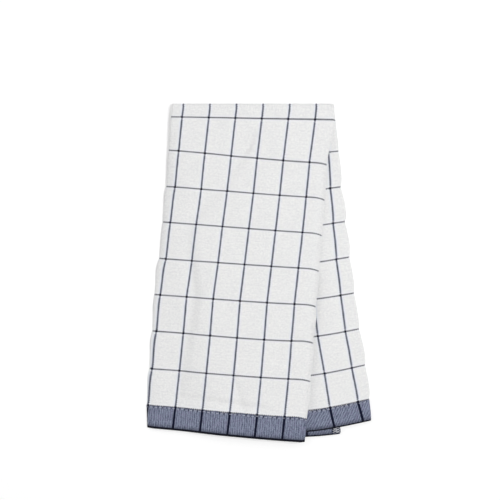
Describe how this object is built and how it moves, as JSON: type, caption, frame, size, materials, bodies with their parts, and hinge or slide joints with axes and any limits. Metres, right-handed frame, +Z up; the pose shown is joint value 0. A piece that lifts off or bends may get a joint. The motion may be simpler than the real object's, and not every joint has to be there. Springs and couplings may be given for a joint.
{
  "type": "folded tea towel",
  "caption": "Checked tea towel with blue hems, folded lengthwise and then over at the top, lying flat with its two halves splayed apart.",
  "frame": {"origin": "on the surface the towel lies on, under the middle of its box", "axes": "+Y from the hems to the top fold, +X to the right as seen from above, +Z up through the layers"},
  "size_m": [0.2028, 0.3046, 0.0098],
  "materials": {
    "cotton": "off-white woven cloth with thin navy checks and slate-blue hem bands"
  },
  "bodies": {
    "root": {"tea_towel": "cotton"}
  },
  "joints": []
}
